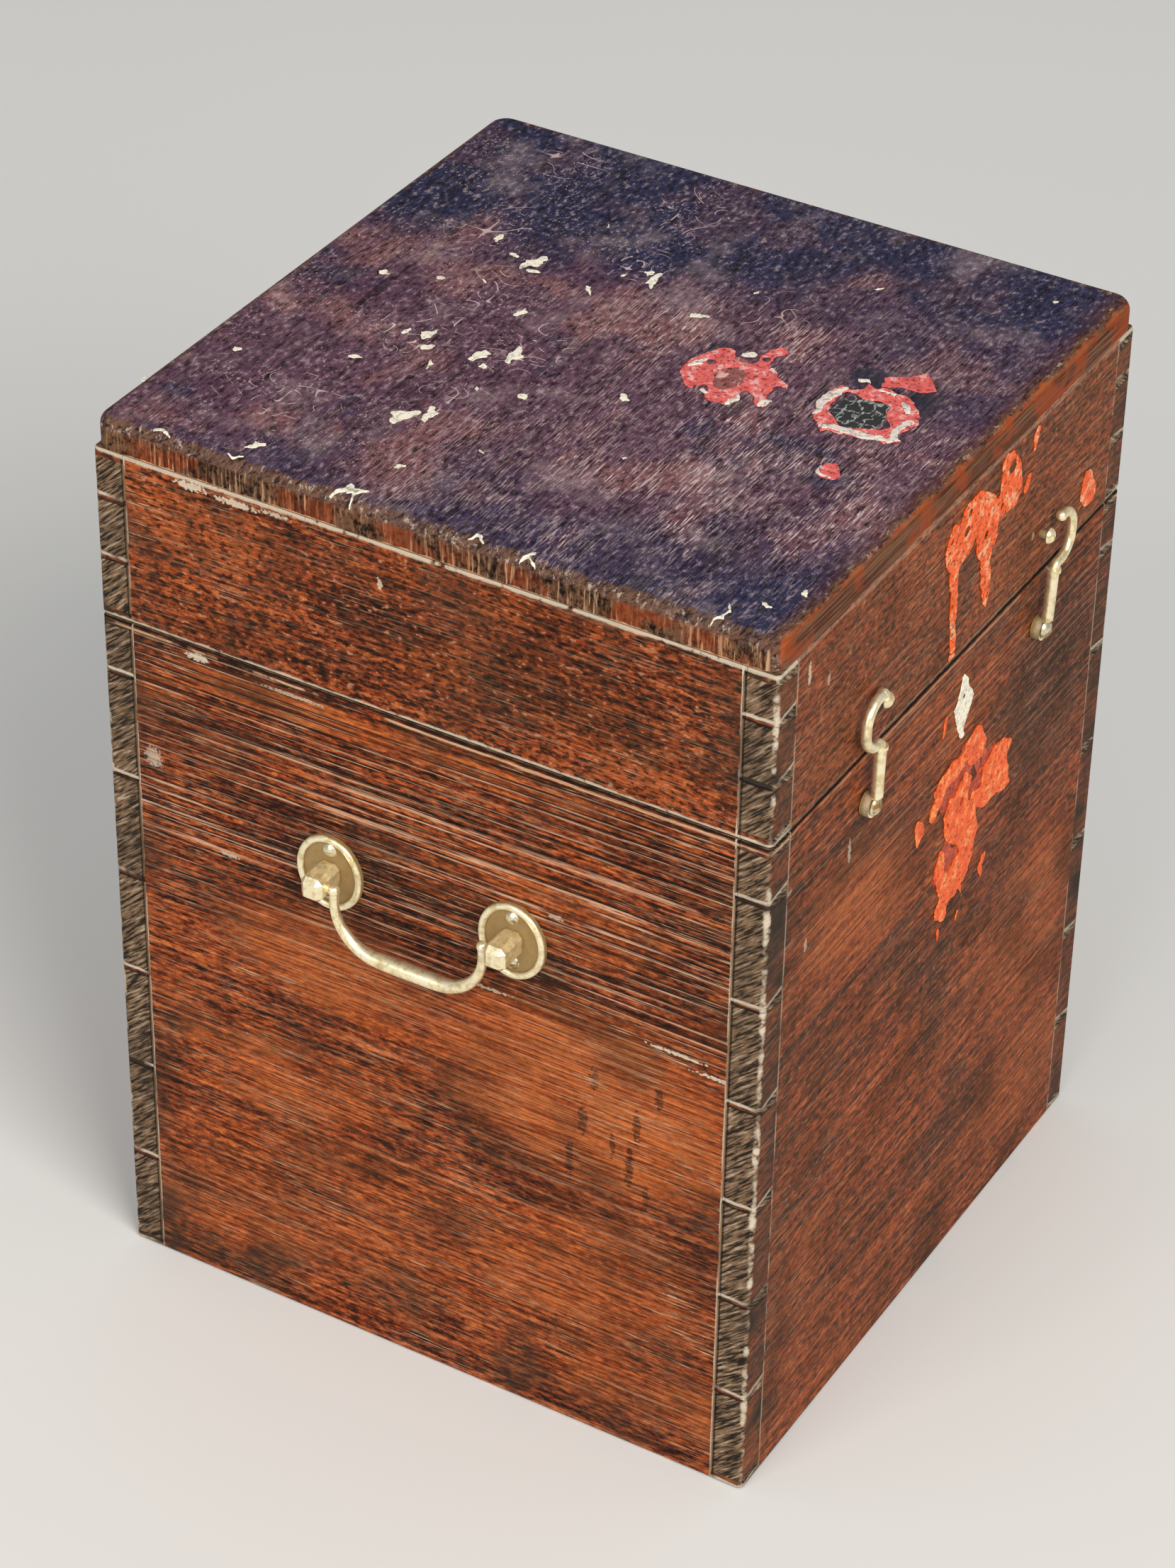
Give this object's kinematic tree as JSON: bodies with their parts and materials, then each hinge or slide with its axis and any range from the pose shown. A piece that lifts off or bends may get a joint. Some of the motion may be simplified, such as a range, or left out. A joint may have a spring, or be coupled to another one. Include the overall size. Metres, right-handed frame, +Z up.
{
  "type": "wooden spice box with hinged lid",
  "caption": "Tall square dovetailed wooden box with a deep hinged lid, drop handles on its sides and swivel hooks on its front.",
  "frame": {"origin": "middle of the flat foot of the box, where it rests", "axes": "+Z up; the swivel hooks are on the -Y front, the hinges on the +Y back, a drop handle on each of the -X and +X sides"},
  "size_m": [0.338, 0.3218, 0.4226],
  "materials": {
    "body_wood": "worn red-brown stain, horizontal grain",
    "lid_wood": "worn darker red-brown stain",
    "top_wood": "worn near-black lacquer over red-brown wood",
    "bottom_wood": "bare aged softwood",
    "brass": "aged, handled brass",
    "hinge_brass": "dull brass",
    "screw_brass": "dull brass"
  },
  "bodies": {
    "box": {"body_front": "body_wood", "body_back": "body_wood", "body_left": "body_wood", "body_right": "body_wood", "body_bottom": "bottom_wood", "hinge_left_pin": "hinge_brass", "hinge_left_body_leaf": "hinge_brass", "hinge_left_body_screws": "screw_brass", "handle_left_front_plate": "brass", "handle_left_front_post": "brass", "handle_left_back_plate": "brass", "handle_left_back_post": "brass", "handle_left_screws": "screw_brass", "hook_left_screw": "screw_brass", "hinge_right_pin": "hinge_brass", "hinge_right_body_leaf": "hinge_brass", "hinge_right_body_screws": "screw_brass", "handle_right_front_plate": "brass", "handle_right_front_post": "brass", "handle_right_back_plate": "brass", "handle_right_back_post": "brass", "handle_right_screws": "screw_brass", "hook_right_screw": "screw_brass"},
    "lid": {"lid_front": "lid_wood", "lid_back": "lid_wood", "lid_left": "lid_wood", "lid_right": "lid_wood", "lid_top": "top_wood", "hinge_left_lid_leaf": "hinge_brass", "hinge_left_lid_screws": "screw_brass", "hook_left_stud": "screw_brass", "hinge_right_lid_leaf": "hinge_brass", "hinge_right_lid_screws": "screw_brass", "hook_right_stud": "screw_brass"},
    "bail_left": {"handle_left_bail": "brass"},
    "bail_right": {"handle_right_bail": "brass"},
    "hook_left": {"hook_left": "brass"},
    "hook_right": {"hook_right": "brass"}
  },
  "joints": [
    {"name": "lid_hinge", "type": "hinge", "parent": "box", "child": "lid", "pos_m": [0, 0.157, 0.3303], "axis": [-1, 0, 0], "range_deg": [0, 180]},
    {"name": "bail_left_swing", "type": "hinge", "parent": "box", "child": "bail_left", "pos_m": [-0.163, 0.002, 0.2435], "axis": [0, 1, 0], "range_deg": [-12, 192]},
    {"name": "bail_right_swing", "type": "hinge", "parent": "box", "child": "bail_right", "pos_m": [0.163, 0.002, 0.2435], "axis": [0, -1, 0], "range_deg": [-12, 192]},
    {"name": "hook_left_turn", "type": "hinge", "parent": "box", "child": "hook_left", "pos_m": [-0.0755, -0.1535, 0.306], "axis": [0, -1, 0], "range_deg": [-14, 170]},
    {"name": "hook_right_turn", "type": "hinge", "parent": "box", "child": "hook_right", "pos_m": [0.0755, -0.1535, 0.3035], "axis": [0, 1, 0], "range_deg": [-14, 170]}
  ]
}
